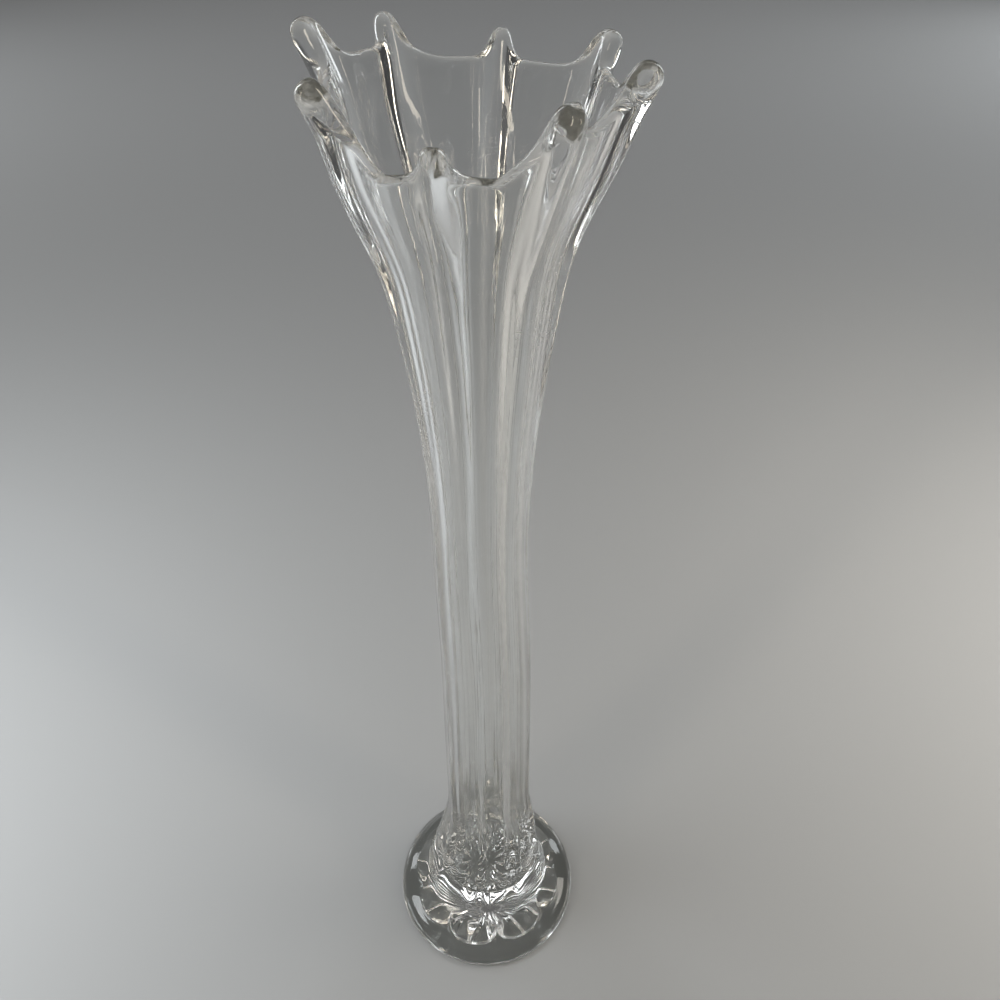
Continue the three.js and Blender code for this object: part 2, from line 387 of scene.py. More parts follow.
@dataclass(frozen=True)
class Sheet:
    """A plain sheet of points whose columns go round the vase and rows along its skin."""

    foot: FootSizes
    star: StarSizes
    base: BaseSizes
    mouth: MouthSizes
    hand: Hand
    rows: RowCounts = field(default_factory=RowCounts)
    columns_per_rib: int = 40
    crest_crowding: float = 0.45
    plain_centre_ratio: float = 0.6
    foot_top_end_ratio: float = 0.86
    well_floor_shares: tuple[float, ...] = (0.2, 0.45, 0.7, 0.9, 1.0)

    def foot_rows(self) -> list[Row]:
        """Rows of the underside, the rounded edge and the top of the foot.

        Returns:
            The rows from the middle of the underside to the foot's fillet.
        """
        foot, star, rows = self.foot, self.star, self.rows
        points: list[tuple[float, float]] = [(0.0, foot.foot_recess)]
        centre = self.plain_centre_ratio * star.star_centre_gap
        star_reach = star.star_diameter / 2
        inside = spread(centre, star.star_widest_at, rows.star_inside)
        tips = spread(star_reach, star.star_widest_at, rows.star_tips, rows.star_tips_ease)
        reaches = [centre] + inside + list(reversed([star_reach] + tips[:-1]))
        points += [(reach, foot.foot_recess) for reach in reaches]
        ring = foot.rest_ring_inner / 2
        for share in spread(0.0, 1.0, rows.recess):
            level = foot.foot_recess * (1 - ease_in_out(share))
            points.append((star_reach + (ring - star_reach) * share, level))
        middle = foot.foot_diameter / 2 - foot.foot_edge_round
        points.append(((ring + middle) / 2, 0.0))
        low, high = foot.foot_edge_round, foot.foot_edge_thickness - foot.foot_edge_round
        for centre, start in ((low, -90.0), (high, 0.0)):
            for degrees in [start] + spread(start, start + 90.0, rows.foot_edge):
                angle = math.radians(degrees)
                reach = middle + foot.foot_edge_round * math.cos(angle)
                points.append((reach, centre + foot.foot_edge_round * math.sin(angle)))
        edge_reach, edge_level = points[-1]
        for share in spread(0.0, self.foot_top_end_ratio, rows.foot_top):
            reach = edge_reach + (foot.foot_top_reach - edge_reach) * share
            rise = (foot.foot_top_height - edge_level) * ease_in_out(share)
            points.append((reach, edge_level + rise))
        return [Row(Section.FOOT, reach, level) for reach, level in points]

    def wall_rows(self) -> list[Row]:
        """Rows up the outside, over the lip, down the inside and over the well's floor.

        Returns:
            The rows from the foot's fillet to the middle of the well's floor.
        """
        base, mouth, counts = self.base, self.mouth, self.rows
        foot_end = self.foot_rows()[-1]
        start = self.foot.foot_top_height + self.foot.foot_fillet
        rows = [
            Row(Section.FILLET, foot_end.reach, start, fillet=share)
            for share in spread(0.0, 1.0, counts.fillet)[:-1]
        ]
        outer = [start]
        bell = (mouth.bell_start, mouth.mouth_height)
        outer += spread(start, base.lobe_top_height, counts.lobes)
        outer += spread(base.lobe_top_height, base.base_top, counts.neck)
        outer += spread(base.base_top, mouth.bell_start, counts.column)
        outer += spread(*bell, counts.bell, counts.bell_ease)
        rows += [Row(Section.WALL, level=level) for level in outer]
        lip = [math.radians(degrees) for degrees in spread(0.0, 180.0, counts.lip)]
        rows += [Row(Section.WALL, level=mouth.mouth_height, lip_turn=turn) for turn in lip]
        well_top = base.well_floor + base.well_corner
        inner = spread(*bell, counts.bell_inside, counts.bell_ease)[:-1]
        inner.reverse()
        inner += [mouth.bell_start] + spread(mouth.bell_start, well_top, counts.well_wall)
        rows += [Row(Section.WALL, level=level, lip_turn=math.pi) for level in inner]
        for turn in spread(0.0, math.pi / 2, counts.well_corner):
            rows.append(Row(Section.WALL, level=well_top, lip_turn=math.pi, floor_turn=turn))
        for share in self.well_floor_shares:
            rows.append(
                Row(
                    Section.WALL,
                    level=well_top,
                    lip_turn=math.pi,
                    floor_turn=math.pi / 2,
                    floor_share=share,
                )
            )
        return rows

    def places(self) -> list[float]:
        """Places round the vase counted in ribs, closer together at the crests.

        Returns:
            One place for each column of points, and the first one again at the end.
        """
        places = []
        for index in range(self.hand.ribs * self.columns_per_rib + 1):
            share = index / self.columns_per_rib
            crowd = self.crest_crowding * math.sin(2 * math.pi * share) / (2 * math.pi)
            places.append(share - crowd)
        return places

    def build(self, name: str) -> bpy.types.Mesh:
        """Makes the sheet and gives each point what the tree needs to place it.

        Args:
            name: the mesh's name.

        Returns:
            The sheet as a mesh, with its values as attributes.
        """
        rows = self.foot_rows() + self.wall_rows()
        places = self.places()
        across = len(places)
        faces = []
        for row in range(len(rows) - 1):
            for place in range(across - 1):
                first = row * across + place
                faces.append((first, first + 1, first + across + 1, first + across))
        mesh = bpy.data.meshes.new(name)
        points = [(turns, float(row), 0.0) for row in range(len(rows)) for turns in places]
        mesh.from_pydata(points, [], faces)
        hand = self.hand
        by_place = {
            "turns": places,
            "tip": [hand.finger_tip + hand.tip_offsets[round(t) % hand.ribs] for t in places],
            "valley": [
                hand.valley + hand.valley_offsets[math.floor(t) % hand.ribs] for t in places
            ],
            "lean": [hand.between(hand.lean_offsets, t) for t in places],
            "twist": [math.radians(hand.between(hand.turn_degrees, t)) for t in places],
        }
        by_row = {
            "reach": [row.reach for row in rows],
            "level": [row.level for row in rows],
            "fillet": [row.fillet for row in rows],
            "lip_turn": [row.lip_turn for row in rows],
            "floor_turn": [row.floor_turn for row in rows],
            "floor_share": [row.floor_share for row in rows],
            "is_foot": [float(row.section is Section.FOOT) for row in rows],
            "is_fillet": [float(row.section is Section.FILLET) for row in rows],
        }
        for key, values in by_place.items():
            self.store(mesh, key, [value for _ in rows for value in values])
        for key, values in by_row.items():
            self.store(mesh, key, [value for value in values for _ in places])
        return mesh

    @staticmethod
    def store(mesh: bpy.types.Mesh, name: str, values: Iterable[float]) -> None:
        """Stores one number for each point.

        Args:
            mesh: the sheet.
            name: the attribute's name.
            values: the numbers in the order of the points.
        """
        attribute = mesh.attributes.new(name, "FLOAT", "POINT")
        attribute.data.foreach_set("value", list(values))


# The rule of the vase as a Geometry Nodes tree


class VaseTree:
    """The Geometry Nodes tree that shapes the sheet into the vase.

    Lengths are in millimetres, apart from JOIN_DISTANCE. RIPPLES gives each set of
    draw lines its count round the vase, its pace up the vase and its share.
    """

    SLOPE_STEP = 0.5
    UPRIGHT_RATIO = 0.5
    FILLET_START_DROP = 0.03
    STAR_SWELL_POWER = 0.8
    KNOB_POWER = 4
    RIPPLES = ((3.2, 0.012, 0.6), (9.0, 0.006, 0.4))
    RIPPLE_FADE = 30.0
    JOIN_DISTANCE = 4e-6

    def __init__(self, name: str, sizes: dict[str, float], hand: Hand) -> None:
        """Makes the tree with one named input for each size.

        Args:
            name: the tree's name.
            sizes: the sizes in millimetres, by name.
            hand: the unevenness of the fingers.
        """
        self.tree = bpy.data.node_groups.new(name, "GeometryNodeTree")
        self.hand = hand
        faces = self.tree.interface
        faces.new_socket("Geometry", in_out="INPUT", socket_type="NodeSocketGeometry")
        faces.new_socket("Geometry", in_out="OUTPUT", socket_type="NodeSocketGeometry")
        for key, value in sizes.items():
            socket = faces.new_socket(
                self.title(key), in_out="INPUT", socket_type="NodeSocketFloat"
            )
            socket.default_value = value
        glass = faces.new_socket("Glass", in_out="INPUT", socket_type="NodeSocketMaterial")
        glass.description = "Material of the whole vase"
        self.entry = self.tree.nodes.new("NodeGroupInput")
        self.exit = self.tree.nodes.new("NodeGroupOutput")
        self.size = {
            key: Field(self.tree, self.entry.outputs[self.title(key)]) for key in sizes
        }
        self.turns = self.stored("turns")
        part = self.turns.fraction()
        self.across = part.at_most(1.0 - part) * 2.0

    @staticmethod
    def title(key: str) -> str:
        """A size's name as the input shows it."""
        return key.replace("_", " ").capitalize()

    def stored(self, name: str) -> Field:
        """Reads one of the sheet's attributes.

        Args:
            name: the attribute's name.

        Returns:
            Its value at each point.
        """
        node = self.tree.nodes.new("GeometryNodeInputNamedAttribute")
        node.data_type = "FLOAT"
        node.inputs["Name"].default_value = name
        return Field(self.tree, node.outputs["Attribute"])

    def crest_reach(self, z: Field) -> Field:
        """How far a rib's crest stands from the axis.

        Args:
            z: the height.

        Returns:
            The reach in millimetres.
        """
        s = self.size
        level = z.at_least(s["lobe_belly_height"])
        down = (s["column_start"] - level) / s["column_start"]
        shrink = level.smoothstep(s["lobe_belly_height"], s["lobe_top_height"])
        under = s["lobe_round"] - (s["lobe_round"] ** 2 - (level - z) ** 2).root()
        flare = mix(s["column_reach"], s["base_flare_reach"], down ** s["base_flare_power"])
        base = flare + s["lobe_swell"] * (1.0 - shrink) - under
        up = (z - s["column_start"]) / (s["waist_height"] - s["column_start"])
        column = mix(s["column_reach"], s["waist_reach"], up ** s["column_taper_power"])
        up = (z - s["waist_height"]) / (s["mouth_height"] - s["waist_height"])
        eased = up.smoothstep(s["opening_start_ratio"], s["opening_end_ratio"])
        opening = mix(s["bell_slack_ratio"], 1.0, eased)
        spill = up.at_least(1.0) ** s["bell_spill_power"]
        bell = mix(s["waist_reach"], s["mouth_reach"], opening * spill * up ** s["bell_power"])
        drawn = mix(bell, column, z.below(s["waist_height"]))
        return mix(drawn, base, z.below(s["column_start"]))

    def rib_relief(self, z: Field) -> Field:
        """How far the crests stand out from the panels between them.

        Args:
            z: the height.

        Returns:
            The relief in millimetres.
        """
        s = self.size
        fade = z.smoothstep(s["lobe_belly_height"], s["lobe_top_height"])
        drawn = z.smoothstep(s["lobe_top_height"], s["column_start"])
        rib = mix(s["shoulder_relief"], s["column_relief"], drawn)
        low = mix(s["lobe_relief"], rib, fade)
        up = (z - s["waist_height"]) / (s["mouth_height"] - s["waist_height"])
        high = mix(s["column_relief"], s["mouth_relief"], up ** s["mouth_relief_power"])
        return mix(high, low, z.below(s["waist_height"]))

    def rib_shape(self, z: Field, across: Field) -> Field:
        """The section of a rib, one on its crest and nothing in mid panel.

        Args:
            z: the height.
            across: nothing on the crest, one in mid panel.

        Returns:
            The share of the relief.
        """
        s = self.size
        low = (1.0 - s["lobe_chord_ratio"] ** 2).root()
        lobe = ((1.0 - (s["lobe_chord_ratio"] * across) ** 2).root() - low) / (1.0 - low)
        widen = z.smoothstep(s["waist_height"], s["mouth_height"])
        width = mix(s["rib_ratio_in_column"], s["rib_ratio_at_mouth"], widen)
        ridge = (0.0 - (across / width) ** 2).exponential()
        fade = z.smoothstep(s["lobe_belly_height"], s["lobe_top_height"])
        return mix(lobe, ridge, fade)

    def turn_share(self, z: Field) -> Field:
        """How much of a finger's own turn has come in at a height."""
        s = self.size
        return z.smoothstep((s["bell_start"] + s["mouth_height"]) * 0.5, s["mouth_height"])

    def lean_share(self, z: Field) -> Field:
        """How much of a finger's own lean has come in at a height."""
        s = self.size
        return z.smoothstep(s["mouth_height"] - s["finger_lean_rise"], s["mouth_height"])

    def axis_shift(self, z: Field) -> Field:
        """How far the axis stands toward +X: lean, bow and sway.

        Args:
            z: the height.

        Returns:
            The shift in millimetres.
        """
        s = self.size
        rise = z.smoothstep(s["well_floor"], s["base_top"])
        lean = rise * (1.0 - z.smoothstep(s["base_top"], s["column_start"]))
        middle = (s["column_start"] + s["waist_height"]) * 0.5
        bow = rise * (1.0 - z.smoothstep(middle, s["waist_height"]))
        start = mix(s["bell_start"], s["mouth_height"], s["sway_start_ratio"])
        end = mix(s["bell_start"], s["mouth_height"], s["sway_end_ratio"])
        fade = z.smoothstep(
            s["mouth_height"] - s["bell_sway_fade"],
            s["mouth_height"] + s["bell_sway_fade"] * 0.5,
        )
        sway = z.smoothstep(start, end) * (1.0 - fade)
        return s["neck_lean"] * lean + s["column_bow"] * bow - s["bell_sway"] * sway

    def outer_reach(self, z: Field) -> Field:
        """How far the outside stands from the axis.

        Args:
            z: the height.

        Returns:
            The reach in millimetres.
        """
        shape = 1.0 - self.rib_shape(z, self.across)
        lean = self.stored("lean") * self.lean_share(z)
        return self.crest_reach(z) - self.rib_relief(z) * shape + lean

    def thickness(self, z: Field) -> Field:
        """Thickness of the glass, with its ribs.

        Args:
            z: the height.

        Returns:
            The thickness in millimetres.
        """
        s = self.size
        low = mix(
            s["wall_at_base"],
            s["wall_in_column"],
            z.smoothstep(s["well_floor"], s["column_start"]),
        )
        high = mix(
            s["wall_in_column"],
            s["wall_at_rim"],
            z.smoothstep(s["waist_height"], s["mouth_height"]),
        )
        panel = mix(high, low, z.below(s["waist_height"]))
        up = (z - s["waist_height"]) / (s["mouth_height"] - s["waist_height"])
        flare = up.at_most(1.0) ** 2
        extra = mix(self.rib_relief(z), s["finger_depth"] - s["wall_at_rim"], flare)
        return panel + extra * self.rib_shape(z, self.across)

    def run(self, z: Field, upright: Value) -> tuple[Field, Field]:
        """The way the outside climbs at a height.

        Args:
            z: the height.
            upright: how much of the slope counts.

        Returns:
            The outward and the upward part of a unit step.
        """
        above = self.outer_reach(z + self.SLOPE_STEP)
        below = self.outer_reach(z - self.SLOPE_STEP)
        slope = (above - below) / (2 * self.SLOPE_STEP) * upright
        length = (slope * slope + 1.0).root()
        return slope / length, 1.0 / length

    def rim_top(self) -> Field:
        """Height of the rim: scallops between the fingers and round finger ends.

        Returns:
            The height of the glass's top edge in millimetres.
        """
        s = self.size
        tip = self.stored("tip")
        climb = (1.0 - self.across) ** s["scallop_power"]
        scallop = mix(self.stored("valley"), tip - s["finger_rise"], climb)
        pitch = 2 * math.pi / self.hand.ribs
        arc = self.across * (pitch / 2) * s["mouth_reach"]
        knob = 1.0 / ((arc / s["finger_half_width"]) ** self.KNOB_POWER + 1.0)
        return mix(scallop, tip, knob)

    def ripple(self, azimuth: Field, z: Field) -> Field:
        """The faint draw lines and waves that the swing leaves in the skin.

        Args:
            azimuth: the angle round the axis.
            z: the height.

        Returns:
            How far the skin stands out, in millimetres.
        """
        s = self.size
        total: Value = 0.0
        for lines, along, share in self.RIPPLES:
            place = self.tree.nodes.new("ShaderNodeCombineXYZ")
            parts = (azimuth.sine() * lines, azimuth.cosine() * lines, z * along)
            for slot, part in zip(place.inputs, parts):
                self.tree.links.new(part.socket, slot)
            noise = self.tree.nodes.new("ShaderNodeTexNoise")
            noise.inputs["Scale"].default_value = 1.0
            noise.inputs["Detail"].default_value = 1.0
            self.tree.links.new(place.outputs[0], noise.inputs["Vector"])
            wave = Field(self.tree, noise.outputs[0]) * 2.0 - 1.0
            total = wave * share + total
        starts = z.smoothstep(s["lobe_top_height"], s["base_top"])
        fades = 1.0 - z.smoothstep(s["mouth_height"] - self.RIPPLE_FADE, s["mouth_height"])
        return total * s["swing_ripple"] * starts * fades

    def star_groove(self, azimuth: Field, reach: Field) -> Field:
        """Depth of the star's slender rays under the foot.

        Args:
            azimuth: the angle round the axis.
            reach: the distance from the axis.

        Returns:
            How far the underside rises, in millimetres.
        """
        s = self.size
        ray = 2 * math.pi / s["star_rays"]
        aside = ((azimuth / ray + 0.5).fraction() - 0.5).size_only() * ray * reach
        inner = (reach - s["star_centre_gap"]) / (s["star_widest_at"] - s["star_centre_gap"])
        ends = (reach - s["star_widest_at"]) / (s["star_diameter"] * 0.5 - s["star_widest_at"])
        inner = inner.at_least(0.0).at_most(1.0)
        leaf = (1.0 - ends.at_least(0.0).at_most(1.0) ** 2).root()
        swell = inner**self.STAR_SWELL_POWER * leaf
        half = mix(s["star_ray_tip"], s["star_ray_width"], swell) * 0.5
        vee = (1.0 - aside / half).at_least(0.0)
        return vee * swell * s["star_ray_depth"]

    @staticmethod
    def curve(start: Value, corner: Value, end: Value, share: Field) -> Field:
        """Rounds a corner with a curve of three points.

        Args:
            start: the value where the curve starts.
            corner: the value at the sharp corner.
            end: the value where the curve ends.
            share: how far along the curve.

        Returns:
            The value on the curve.
        """
        away = 1.0 - share
        return away * away * start + away * share * 2.0 * corner + share * share * end

    def shape(self) -> None:
        """Joins the rules into the tree that places every point."""
        s = self.size
        is_foot = self.stored("is_foot")
        is_fillet = self.stored("is_fillet")
        fillet = self.stored("fillet")
        lip_turn = self.stored("lip_turn")
        floor_turn = self.stored("floor_turn")
        floor_share = self.stored("floor_share")
        level = self.stored("level")

        pitch = 2 * math.pi / self.hand.ribs
        plain = self.turns * pitch + math.radians(self.hand.first_rib)

        rim = self.rim_top()
        rim_out, _ = self.run(rim, 1.0)
        lip = rim - self.thickness(rim) * 0.5 * (rim_out + 1.0)
        lift = (level - s["bell_start"]) / (s["mouth_height"] - s["bell_start"])
        climb = mix(s["bell_start"], lip, lift.at_least(0.0))
        z = mix(climb, level, level.below(s["bell_start"]))
        out, up = self.run(z, lift.smoothstep(0.0, self.UPRIGHT_RATIO))
        half = self.thickness(z) * 0.5
        azimuth = plain + self.stored("twist") * self.turn_share(z)
        reach = self.outer_reach(z) + self.ripple(azimuth, z)
        turned = up * lip_turn.cosine() + out * lip_turn.sine()
        raised = up * lip_turn.sine() - out * lip_turn.cosine()
        wall_reach = reach - up * half + half * turned
        wall_level = z + out * half + half * raised
        inset = s["well_corner"] * (1.0 - floor_turn.cosine())
        wall_reach = (wall_reach - inset) * (1.0 - floor_share)
        dish = s["well_floor_dish"] * floor_share * (2.0 - floor_share)
        wall_level = wall_level - s["well_corner"] * floor_turn.sine() - dish

        foot_reach = self.stored("reach")
        foot_level = level + self.star_groove(plain, foot_reach)
        low = s["foot_top_height"]
        corner = self.outer_reach(low)
        fillet_reach = self.curve(foot_reach, corner, wall_reach, fillet)
        fillet_level = self.curve(low - self.FILLET_START_DROP, low, wall_level, fillet)
        wall_reach = mix(wall_reach, fillet_reach, is_fillet)
        wall_level = mix(wall_level, fillet_level, is_fillet)
        final_reach = mix(wall_reach, foot_reach, is_foot)
        final_level = mix(wall_level, foot_level, is_foot)
        turn = mix(azimuth, plain, is_foot)

        shift = self.axis_shift(z) * (1.0 - is_foot)
        place = self.tree.nodes.new("ShaderNodeCombineXYZ")
        parts = (
            (shift + final_reach * turn.sine()) * MILLIMETRE,
            final_reach * turn.cosine() * -MILLIMETRE,
            final_level * MILLIMETRE,
        )
        for slot, value in zip(place.inputs, parts):
            self.tree.links.new(value.socket, slot)
        self.finish(place.outputs[0])

    def finish(self, place: bpy.types.NodeSocket) -> None:
        """Moves the points, closes the seam and the poles and puts the glass on.

        Args:
            place: where each point goes, in metres.
        """
        nodes, links = self.tree.nodes, self.tree.links
        move = nodes.new("GeometryNodeSetPosition")
        join = nodes.new("GeometryNodeMergeByDistance")
        smooth = nodes.new("GeometryNodeSetShadeSmooth")
        real = nodes.new("GeometryNodeRealizeInstances")
        dress = nodes.new("GeometryNodeSetMaterial")
        join.inputs["Distance"].default_value = self.JOIN_DISTANCE
        links.new(place, move.inputs["Position"])
        links.new(self.entry.outputs["Glass"], dress.inputs["Material"])
        chain = (self.entry, move, join, smooth, real, dress, self.exit)
        for before, after in zip(chain, chain[1:]):
            links.new(before.outputs[0], after.inputs[0])


def run_tree(
    mesh: bpy.types.Mesh,
    tree: bpy.types.NodeTree,
    inputs: dict[str, object],
    name: str,
) -> bpy.types.Object:
    """Runs a tree on a mesh once and keeps the result as a plain mesh.

    Args:
        mesh: what the tree starts from.
        tree: the Geometry Nodes tree.
        inputs: the values of its named inputs.
        name: the finished piece's name.

    Returns:
        The finished piece, at the origin.
    """
    source = bpy.data.objects.new(name + "_sheet", mesh)
    bpy.context.scene.collection.objects.link(source)
    modifier = source.modifiers.new("shape", "NODES")
    modifier.node_group = tree
    for item in tree.interface.items_tree:
        if item.item_type == "SOCKET" and item.in_out == "INPUT" and item.name in inputs:
            modifier[item.identifier] = inputs[item.name]
    bpy.context.view_layer.update()
    graph = bpy.context.evaluated_depsgraph_get()
    made = bpy.data.meshes.new_from_object(source.evaluated_get(graph), depsgraph=graph)
    source.modifiers.remove(modifier)
    bpy.data.objects.remove(source)
    made.name = name
    piece = bpy.data.objects.new(name, made)
    bpy.context.scene.collection.objects.link(piece)
    return piece


# Finishes


class Shader:
    """A few short calls for building a material."""

    def __init__(self, name: str) -> None:
        """Makes an empty material with its output node.

        Args:
            name: the material's name.
        """
        self.material = bpy.data.materials.new(name)
        self.material.use_nodes = True
        self.nodes = self.material.node_tree.nodes
        self.links = self.material.node_tree.links
        self.nodes.clear()
        self.output = self.nodes.new("ShaderNodeOutputMaterial")

    def node(self, kind: str, values: dict[str, object] | None = None) -> bpy.types.Node:
        """Adds one node.

        Args:
            kind: the node's type.
            values: numbers or colours for its sockets, by name.

        Returns:
            The new node.
        """
        node = self.nodes.new(kind)
        for key, value in (values or {}).items():
            node.inputs[key].default_value = value
        return node

    def join(self, start: bpy.types.NodeSocket, end: bpy.types.NodeSocket) -> None:
        """Links one socket to another."""
        self.links.new(start, end)


def new_group(
    name: str, inputs: dict[str, float], outputs: Sequence[str]
) -> tuple[bpy.types.NodeTree, bpy.types.Node, bpy.types.Node]:
    """Starts a shader node group whose sockets are all numbers.

    Args:
        name: the group's name.
        inputs: its inputs and their usual values.
        outputs: the names of its outputs.

    Returns:
        The group, its input node and its output node.
    """
    group = bpy.data.node_groups.new(name, "ShaderNodeTree")
    for key, value in inputs.items():
        socket = group.interface.new_socket(
            key, in_out="INPUT", socket_type="NodeSocketFloat"
        )
        socket.default_value = value
    for key in outputs:
        group.interface.new_socket(key, in_out="OUTPUT", socket_type="NodeSocketFloat")
    return group, group.nodes.new("NodeGroupInput"), group.nodes.new("NodeGroupOutput")


DRAW_LINES = (("Lines", (11.0, 11.0, 3.0)), ("Waves", (2.6, 2.6, 9.0)))
DRAW_LINES_RISE = (0.03, 0.09)
DRAW_LINES_CORE = 0.001


def draw_lines_group() -> bpy.types.NodeTree:
    """Long faint lines that run up the glass along the ribs.

    Returns:
        A group with a height for a Bump node.
    """
    inputs = {key: 1.0 for key, _ in DRAW_LINES}
    group, entry, leave = new_group("draw_lines", inputs, ["Height"])
    place = group.nodes.new("ShaderNodeTexCoord")
    split = group.nodes.new("ShaderNodeSeparateXYZ")
    group.links.new(place.outputs["Object"], split.inputs[0])
    x, y, z = (Field(group, socket) for socket in split.outputs)
    reach = (x * x + y * y).root().at_least(DRAW_LINES_CORE)
    around = group.nodes.new("ShaderNodeCombineXYZ")
    for slot, part in zip(around.inputs, (x / reach, y / reach, z)):
        group.links.new(part.socket, slot)
    total = Field(group, entry.outputs["Lines"]) * 0.0
    for key, scale in DRAW_LINES:
        stretch = group.nodes.new("ShaderNodeMapping")
        stretch.inputs["Scale"].default_value = scale
        noise = group.nodes.new("ShaderNodeTexNoise")
        noise.inputs["Scale"].default_value = 1.0
        noise.inputs["Detail"].default_value = 2.0
        group.links.new(around.outputs[0], stretch.inputs["Vector"])
        group.links.new(stretch.outputs[0], noise.inputs["Vector"])
        total = total + Field(group, noise.outputs[0]) * Field(group, entry.outputs[key])
    total = total * z.smoothstep(*DRAW_LINES_RISE)
    group.links.new(total.socket, leave.inputs["Height"])
    return group


SPECK_EDGE = (0.1, 0.2)
DUST_PATCH = (0.5, 0.66)
HAZE_PATCH = (0.42, 0.7)


def handling_group() -> bpy.types.NodeTree:
    """Dust specks and the faint haze of handling.

    Returns:
        A group with both as masks from nothing to one.
    """
    inputs = {"Speck Scale": 900.0, "Haze Scale": 22.0}
    group, entry, leave = new_group("handling", inputs, ["Specks", "Haze"])
    place = group.nodes.new("ShaderNodeTexCoord")
    cells = group.nodes.new("ShaderNodeTexVoronoi")
    cells.inputs["Randomness"].default_value = 1.0
    group.links.new(place.outputs["Object"], cells.inputs["Vector"])
    group.links.new(entry.outputs["Speck Scale"], cells.inputs["Scale"])
    clouds = group.nodes.new("ShaderNodeTexNoise")
    clouds.inputs["Detail"].default_value = 3.0
    group.links.new(place.outputs["Object"], clouds.inputs["Vector"])
    group.links.new(entry.outputs["Haze Scale"], clouds.inputs["Scale"])
    cloud = Field(group, clouds.outputs[0])
    speck = 1.0 - Field(group, cells.outputs["Distance"]).smoothstep(*SPECK_EDGE)
    dusty = cloud.smoothstep(*DUST_PATCH)
    group.links.new((speck * dusty).socket, leave.inputs["Specks"])
    group.links.new(cloud.smoothstep(*HAZE_PATCH).socket, leave.inputs["Haze"])
    return group


@dataclass(frozen=True)
class ClearGlass:
    """Clear fire-polished glass with a faint smoky depth."""

    colour: tuple[float, float, float] = (0.985, 0.988, 0.98)
    index: float = 1.51
    roughness: float = 0.012
    haze_roughness: float = 0.05
    speck_roughness: float = 0.35
    see_through: float = 1.0
    shadow: tuple[float, float, float] = (0.62, 0.63, 0.62)
    depth_colour: tuple[float, float, float] = (0.87, 0.84, 0.78)
    depth_density: float = 3.0
    line_height: float = 0.00006

    def build(self, name: str) -> bpy.types.Material:
        """Makes the material.

        Args:
            name: the material's name.

        Returns:
            The finished glass.
        """
        shader = Shader(name)
        body = shader.node(
            "ShaderNodeBsdfPrincipled",
            {
                "Base Color": (*self.colour, 1.0),
                "Transmission Weight": self.see_through,
                "IOR": self.index,
            },
        )
        marks = shader.node("ShaderNodeGroup")
        marks.node_tree = handling_group()
        haze = Field(shader.material.node_tree, marks.outputs["Haze"])
        specks = Field(shader.material.node_tree, marks.outputs["Specks"])
        rough = mix(self.roughness, self.haze_roughness, haze)
        rough = mix(rough, self.speck_roughness, specks)
        shader.join(rough.socket, body.inputs["Roughness"])
        lines = shader.node("ShaderNodeGroup")
        lines.node_tree = draw_lines_group()
        bump = shader.node("ShaderNodeBump", {"Strength": 1.0, "Distance": self.line_height})
        shader.join(lines.outputs["Height"], bump.inputs["Height"])
        shader.join(bump.outputs["Normal"], body.inputs["Normal"])
        clear = shader.node("ShaderNodeBsdfTransparent", {"Color": (*self.shadow, 1.0)})
        path = shader.node("ShaderNodeLightPath")
        pick = shader.node("ShaderNodeMixShader")
        shader.join(path.outputs["Is Shadow Ray"], pick.inputs["Fac"])
        shader.join(body.outputs[0], pick.inputs[1])
        shader.join(clear.outputs[0], pick.inputs[2])
        shader.join(pick.outputs[0], shader.output.inputs["Surface"])
        depth = shader.node(
            "ShaderNodeVolumeAbsorption",
            {"Color": (*self.depth_colour, 1.0), "Density": self.depth_density},
        )
        shader.join(depth.outputs[0], shader.output.inputs["Volume"])
        return shader.material


@dataclass(frozen=True)
class PaperFloor:
    """Matt pale studio paper."""

    colour: tuple[float, float, float] = (0.43, 0.435, 0.44)
    shade: float = 0.03
    cloud_scale: float = 1.3
    roughness: float = 0.85

    def build(self, name: str) -> bpy.types.Material:
        """Makes the material.

        Args:
            name: the material's name.

        Returns:
            The finished paper.
        """
        shader = Shader(name)
        place = shader.node("ShaderNodeTexCoord")
        noise = shader.node("ShaderNodeTexNoise", {"Scale": self.cloud_scale, "Detail": 2.0})
        shader.join(place.outputs["Object"], noise.inputs["Vector"])
        blend = shader.node("ShaderNodeMix")
        blend.data_type = "RGBA"
        blend.inputs["A"].default_value = (*self.colour, 1.0)
        darker = [part * (1 - self.shade) for part in self.colour]
        blend.inputs["B"].default_value = (*darker, 1.0)
        body = shader.node("ShaderNodeBsdfPrincipled", {"Roughness": self.roughness})
        shader.join(noise.outputs[0], blend.inputs["Factor"])
        shader.join(blend.outputs["Result"], body.inputs["Base Color"])
        shader.join(body.outputs[0], shader.output.inputs["Surface"])
        return shader.material


# Studio


COOL = (0.94, 0.98, 1.0)
WARM = (1.0, 0.95, 0.87)
GOLDEN = (1.0, 0.9, 0.74)
POOL_SPREAD = 120.0


@dataclass(frozen=True)
class SoftBox:
    """One soft lamp: its place, aim, size, power, colour and how wide it throws."""

    name: str
    place: tuple[float, float, float]
    aim: tuple[float, float, float]
    width: float
    height: float
    power: float
    colour: tuple[float, float, float] = (1.0, 1.0, 1.0)
    spread_degrees: float = 180.0

    def build(self) -> None:
        """Makes the lamp and turns it to what it looks at."""
        lamp = bpy.data.lights.new(self.name, "AREA")
        lamp.shape = "RECTANGLE"
        lamp.size, lamp.size_y = self.width, self.height
        lamp.energy = self.power
        lamp.color = self.colour
        lamp.spread = math.radians(self.spread_degrees)
        item = bpy.data.objects.new(self.name, lamp)
        item.location = self.place
        way = Vector(self.aim) - Vector(self.place)
        item.rotation_euler = way.to_track_quat("-Z", "Y").to_euler()
        bpy.context.scene.collection.objects.link(item)


